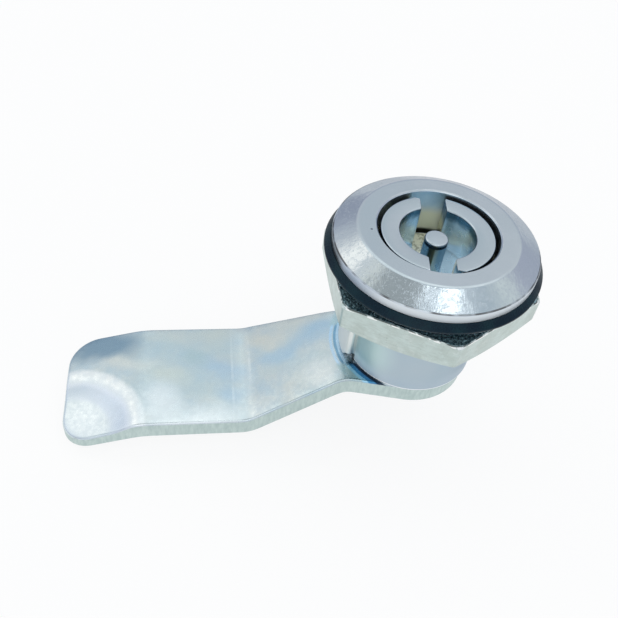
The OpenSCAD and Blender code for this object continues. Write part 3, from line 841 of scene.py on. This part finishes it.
def plate(work, outline, hole, high, low, grid, edge_step=0.6):
    """A plate from its edge and square hole in plan. High and low are each a face and its edge's radius."""
    edge = []
    for a, b in zip(outline, outline[1:] + outline[:1]):
        gap = dist(a, b)
        if gap > 1e-4:
            parts = max(1, round(gap / edge_step))
            for k in range(parts):
                edge.append((a[0] + (b[0] - a[0]) * k / parts, a[1] + (b[1] - a[1]) * k / parts))
    count = len(edge)
    inward = []
    for i in range(count):
        along = (Vector(edge[(i + 1) % count]) - Vector(edge[i - 1])).normalized()
        inward.append(Vector((-along.y, along.x)))
    rims = []
    for (face, radius), sign in ((high, -1), (low, 1)):
        rim = []
        for inset, fall in rounding(radius, (0, 15, 35, 55, 75, 90)):
            spots = [Vector(p) + n * inset for p, n in zip(edge, inward)]
            rim.append([work.verts.new(Vector((s.x, s.y, face(s.x, s.y) + sign * fall)) * MM) for s in spots])
        rims.append(rim)
    wall = rims[0] + rims[1][::-1]
    for upper, lower in zip(wall, wall[1:]):
        for i in range(count):
            j = (i + 1) % count
            work.faces.new((upper[i], upper[j], lower[j], lower[i]))
    left, right = min(p[0] for p in edge), max(p[0] for p in edge)
    near, far = min(p[1] for p in edge), max(p[1] for p in edge)
    wide, tall = round((right - left) / grid), round((far - near) / grid)
    keep_off = max(x for x, _ in hole) + 0.2
    for rim, (face, radius) in zip(rims, (high, low)):
        border = [Vector(p) + n * radius for p, n in zip(edge, inward)]
        points = [v.copy() for v in border] + [Vector(p) for p in hole]
        fences = [(i, (i + 1) % count) for i in range(count)]
        fences += [(count + i, count + (i + 1) % len(hole)) for i in range(len(hole))]
        for i in range(1, wide):
            for j in range(1, tall):
                spot = Vector((left + (right - left) * i / wide, near + (far - near) * j / tall))
                by_hole = abs(spot.x) < keep_off and abs(spot.y) < keep_off
                if not by_hole and min((spot - b).length for b in border[::2]) > grid * 0.6:
                    points.append(spot)
        flat, _, faces, origin, _, _ = delaunay_2d_cdt(points, fences, [], 1, 1e-6)
        verts = []
        for spot, first in zip(flat, origin):
            on_rim = first and first[0] < count
            verts.append(rim[0][first[0]] if on_rim else
                         work.verts.new(Vector((spot.x, spot.y, face(spot.x, spot.y))) * MM))
        for corners in faces:
            centre = sum((flat[c] for c in corners), Vector((0, 0))) / len(corners)
            if inside_of(centre, edge) and not inside_of(centre, hole):
                work.faces.new([verts[c] for c in corners])


work = bmesh.new()
hole = [(square_hole, -square_hole), (square_hole, square_hole), (-square_hole, square_hole),
        (-square_hole, -square_hole)]
plate(work, cam_outline(), hole, (cam_high, 0.42), (cam_low, 0.25), 0.8)
cam_foot = cam_top - cam_thick
for here, before in zip(hole, hole[-1:] + hole[:-1]):
    upright = ((*here, cam_top), (*before, cam_top), (*before, cam_foot), (*here, cam_foot))
    work.faces.new([work.verts.new(Vector(point) * MM) for point in upright])
cam_plate = body_from("cam_plate", work)

# Blot: a soft-edged cloud round a place on the surface.
blot, takes, gives = effect("blot", "Spot:Vector, Centre:Vector, Reach:Vector, Lean, Soft", "Mask")
wander = add(blot, "ShaderNodeTexNoise")
for name, feed in (("Vector", takes["Spot"]), ("Scale", 0.16), ("Detail", 2.0)):
    join(feed, wander.inputs[name])
pushed = vector("MULTIPLY_ADD", wander.outputs["Color"], (5.0, 5.0, 5.0), (-2.5, -2.5, -2.5))
away = vector("SUBTRACT", vector("ADD", takes["Spot"], pushed), takes["Centre"])
swung = add(blot, "ShaderNodeVectorRotate", away, rotation_type="Z_AXIS")
join(takes["Lean"], swung.inputs["Angle"])
sized = vector("MULTIPLY", vector("DIVIDE", swung.outputs[0], takes["Reach"]), (1.0, 1.0, 0.0))
soft_from = calc("SUBTRACT", 1.0, takes["Soft"])
join(spread(vector("LENGTH", sized), 1.0, soft_from), gives["Mask"])

blued, shader, (spot, across, _), coat = finish(
    "cam_zinc", 1.0, 0.28, Colour=(0.455, 0.565, 0.61), Cloud=(0.51, 0.595, 0.6),
    Cloud_Frequency=0.16, Cloud_Share=0.8, Grain_Frequency=1.3, Grain=0.06)
along, aside, _ = axes(spot)
tarnish = blend(noise(spot, 3.0, 4.0, 0.62), (0.34, 0.52, 0.68), (0.66, 0.65, 0.58))
colour = over(coat["Colour"], tarnish, spread(noise(spot, 7.0, 2.0), 0.36, 0.64, 0.25, 0.65))
# Blots: middle, half length and half width, how far they lean, how soft they are, share and colour.
for x, y, long, wide, lean, soft, share, tone in (
    (-46.5, 7.4, 8.5, 4.8, 0.1, 0.75, 0.92, (0.19, 0.3, 0.4)),
    (-13.0, 3.4, 6.5, 3.4, -0.25, 0.9, 0.66, (0.32, 0.5, 0.66)),
    (-19.5, 1.8, 5.5, 2.8, -0.35, 0.9, 0.6, (0.34, 0.52, 0.68)),
    (-28.0, 0.6, 6.5, 3.0, 0.4, 0.9, 0.5, (0.36, 0.52, 0.68)),
    (-31.0, 7.6, 13.0, 2.8, 0.0, 0.9, 0.5, (0.56, 0.6, 0.57)),
    (-17.0, 7.0, 7.0, 2.4, 0.0, 0.9, 0.45, (0.58, 0.61, 0.58)),
    (-21.5, 5.2, 5.0, 2.0, 0.3, 0.9, 0.45, (0.62, 0.63, 0.56)),
    (-32.5, 3.0, 4.0, 2.4, 0.6, 0.9, 0.45, (0.36, 0.5, 0.54)),
    (-36.0, -0.6, 4.5, 2.6, 0.4, 0.9, 0.45, (0.62, 0.66, 0.6)),
    (-41.5, 2.6, 7.0, 2.2, 0.15, 0.9, 0.55, (0.62, 0.67, 0.65)),
    (-33.0, -9.2, 15.0, 6.0, -0.1, 0.95, 0.95, (0.8, 0.86, 0.88)),
    (-48.5, -6.0, 7.5, 7.5, 0.0, 0.95, 0.85, (0.76, 0.83, 0.87)),
    (-38.0, -4.6, 5.5, 4.4, 0.5, 0.95, 0.75, (0.76, 0.82, 0.85)),
    (-26.5, -4.0, 3.6, 2.4, 0.4, 0.9, 0.45, (0.4, 0.56, 0.72)),
    (-13.7, -4.2, 4.0, 3.0, 0.5, 0.9, 0.6, (0.7, 0.76, 0.77)),
    (-49.4, -8.9, 0.6, 0.45, 0.3, 0.5, 0.85, (0.1, 0.08, 0.06)),
):
    mask = use(blot, spot, Centre=(x, y, 0), Reach=(long, wide, 1), Lean=lean, Soft=soft)["Mask"]
    colour = over(colour, tone, mask, share)
# Paler marks: painted highlights along the border of the coined ramp and on a ring inside it, and two lines
# where the press pinched the crank.
corner = vector("MULTIPLY", vector("ADD", spot, (tip_at, tongue_half, 0)), (1, 1, 0))
from_corner = vector("LENGTH", corner)
wavy = calc("ADD", noise(spot, 4.0, 2.0), from_corner)
colour = over(colour, (0.88, 0.92, 0.95), within(wavy, ramp_r, 0.9), 0.5)
colour = over(colour, (0.72, 0.78, 0.87), within(wavy, ramp_r - 2.2, 0.9), 0.5)
pressed, pressed_tone = spread(from_corner, ramp_r - 2.0, ramp_r - 4.5), (0.62, 0.71, 0.76)
colour = over(colour, pressed_tone, pressed, 0.3)
mottled = spread(noise(spot, 1.6, 4.0, 0.65), 0.42, 0.58)
colour = over(colour, pressed_tone, pressed, mottled, 0.22)
rubbed_tone = (0.8, 0.88, 0.9)
for pinch in (-26.6, -23.9):
    broken = spread(noise(spot, 2.5, 3.0), 0.35, 0.65, 0.0, 0.22)
    colour = over(colour, rubbed_tone, within(along, pinch, 0.12), broken)
colour = over(colour, rubbed_tone, within(along, -25.2, 0.8), 0.1)
# Blue rings stain the plate round the barrel's foot, with painted shade and reflection making them darkest
# where the barrel and its land come close.
stain_and_shade_reach = calc("MULTIPLY_ADD", noise(spot, 3.0, 2.0), 0.3, across)
off_middle = calc("ABSOLUTE", aside)
facing = axes(add(shader.id_data, "ShaderNodeTexCoord").outputs["Normal"])["Z"]
topside = spread(facing, 0.0, 0.5)
by_land = all_of(topside, spread(off_middle, 4.4, 3.4))
by_barrel = all_of(topside, spread(off_middle, 3.4, 4.2))
for middle, half, where, share, tone in (
    (11.4, 0.6, by_barrel, 0.6, (0.36, 0.52, 0.56)), (10.75, 0.26, by_barrel, 0.8, (0.36, 0.68, 0.9)),
    (10.3, 0.24, by_barrel, 0.9, (0.03, 0.22, 0.46)), (9.84, 0.16, by_barrel, 0.95, (0.005, 0.02, 0.05)),
    (10.95, 0.22, by_land, 0.7, (0.4, 0.6, 0.78)), (11.32, 0.13, by_land, 0.8, (0.13, 0.3, 0.46)),
    (11.9, 0.14, by_land, 0.5, (0.4, 0.64, 0.9)),
):
    colour = over(colour, tone, within(stain_and_shade_reach, middle, half), where, share)
# The sheared sides are greenish with upright drag lines, and the corners are rubbed bright.
sheared = spread(calc("ABSOLUTE", facing), 0.5, 0.2)
drag = noise(vector("MULTIPLY", spot, (2.2, 2.2, 0.5)), 1.0, 4.0, 0.65)
cut_face = blend(spread(drag, 0.3, 0.7), (0.58, 0.69, 0.67), (0.47, 0.58, 0.57))
colour = over(colour, cut_face, sheared)
worn = use(edge_wear, spot, Reach=0.35, Patch_Frequency=0.8)["Worn"]
colour = over(colour, rubbed_tone, worn, 0.45)
# Burrs along the edges are rubbed dark in a few places.
burrs = spread(noise(spot, 1.1, 2.0), 0.66, 0.72)
dull = spread(coat["Grain"], 0.3, 0.7, 0.24, 0.34)
rolled = use(ripple, spot, Frequency=0.14, Height=0.06, Fine_Height=0.008)["Relief"]
paint(shader, calc("MULTIPLY_ADD", all_of(drag, sheared), 0.02, rolled),
      Base_Color=over(colour, (0.16, 0.17, 0.15), worn, burrs, 0.7),
      Roughness=calc("MULTIPLY_ADD", sheared, 0.14, dull))
cam_plate.data.materials.append(blued)
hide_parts("cam")
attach(cam_plate, "rotor")

# The plain washer: stamped from 1 mm steel sheet and bright zinc plated. It spreads
# the screw's pull over the back of the cam's hub.
def fastener(name, colour, cloud, roughness):
    """Zinc plate on a small steel part, rubbed pale along its corners."""
    made, shader, (spot, _, _), coat = finish(
        name, 1.0, roughness, Colour=colour, Cloud=cloud, Cloud_Frequency=0.5, Cloud_Share=0.6,
        Grain_Frequency=4.0, Grain=0.15)
    worn = use(edge_wear, spot, Reach=0.2, Patch_Frequency=1.5)["Worn"]
    waves = use(ripple, spot, Frequency=0.9, Height=0.015, Fine_Height=0.008)["Relief"]
    paint(shader, waves, Base_Color=over(coat["Colour"], (0.82, 0.87, 0.88), worn, 0.5),
          Roughness=spread(coat["Grain"], 0.3, 0.7, roughness - 0.06, roughness + 0.08))
    return made


washer_in, washer_out, washer_high, washer_low = 3.05, 7.0, -22.5, -23.5
work = bmesh.new()
turned(work, eased([
    (washer_in, washer_high, 0.1), (washer_out, washer_high, 0.18), (washer_out, washer_low, 0.28),
    (washer_in, washer_low, 0.15)]), 128)
flat_washer = body_from("flat_washer", work)
bright_zinc = fastener("fastener_zinc", (0.6, 0.7, 0.74), (0.52, 0.62, 0.64), 0.28)
flat_washer.data.materials.append(bright_zinc)
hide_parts("plain_washer")
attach(flat_washer, "rotor")

# The spring washer: coiled from square steel wire, cut through with a slanting gap and
# zinc plated a shade darker. Pressed flat by the screw's head, it keeps it from working loose.
spring_out, spring_low, gap_half, gap_lean = 5.9, -24.7, 0.5, 20
work = bmesh.new()
section = eased([(washer_in, washer_low, 0.1), (spring_out, washer_low, 0.12), (spring_out, spring_low, 0.12),
                 (washer_in, spring_low, 0.1)], 3)
columns = []
for step in range(121):
    column = []
    for radius, up in section:
        edge = degrees(asin(gap_half / radius))
        slant = (up - (washer_low + spring_low) / 2) * tan(radians(gap_lean))
        lean = degrees(atan2(slant, radius))
        column.append((*polar(radius, 90 + edge - lean + (360 - 2 * edge) * step / 120), up))
    columns.append(column)
skin(work, columns, around=False)
split_washer = body_from("split_washer", work)
split_washer.data.materials.append(fastener("spring_zinc", (0.5, 0.57, 0.6), (0.42, 0.49, 0.51), 0.36))
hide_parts("spring_washer")
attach(split_washer, "rotor")

# The cam screw: an M6 with a low head and a hexagon socket, turned from steel and
# bright zinc plated. It holds the cam on the insert's square from behind.
head_half, screw_low, key_flat, shank_r, shank_end = 5.0, -26.8, 2.0, 3.0, -14.7
work = bmesh.new()
columns = []
for angle in range(0, 360, 2):
    reach = hexagon_r(key_flat, angle, 0.12)
    columns.append(around_axis(eased([
        (0, spring_low, 0), (head_half, spring_low, 0.1), (head_half, screw_low + 0.5, 0.1),
        (head_half - 0.5, screw_low, 0.1), (reach + 0.15, screw_low, 0.03), (reach, screw_low + 0.15, 0.03),
        (reach, screw_low + 1.2, 0.05), (0, screw_low + 1.3, 0)], 3), angle))
skin(work, columns)
turned(work, eased([
    (0, shank_end, 0), (shank_r - 0.5, shank_end, 0.1), (shank_r, shank_end - 0.5, 0.1),
    (shank_r, spring_low - 0.1, 0), (0, spring_low - 0.1, 0)], 2), 64)
socket_screw = body_from("socket_screw", work)
socket_screw.data.materials.append(bright_zinc)
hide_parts("cam_screw")
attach(socket_screw, "rotor")
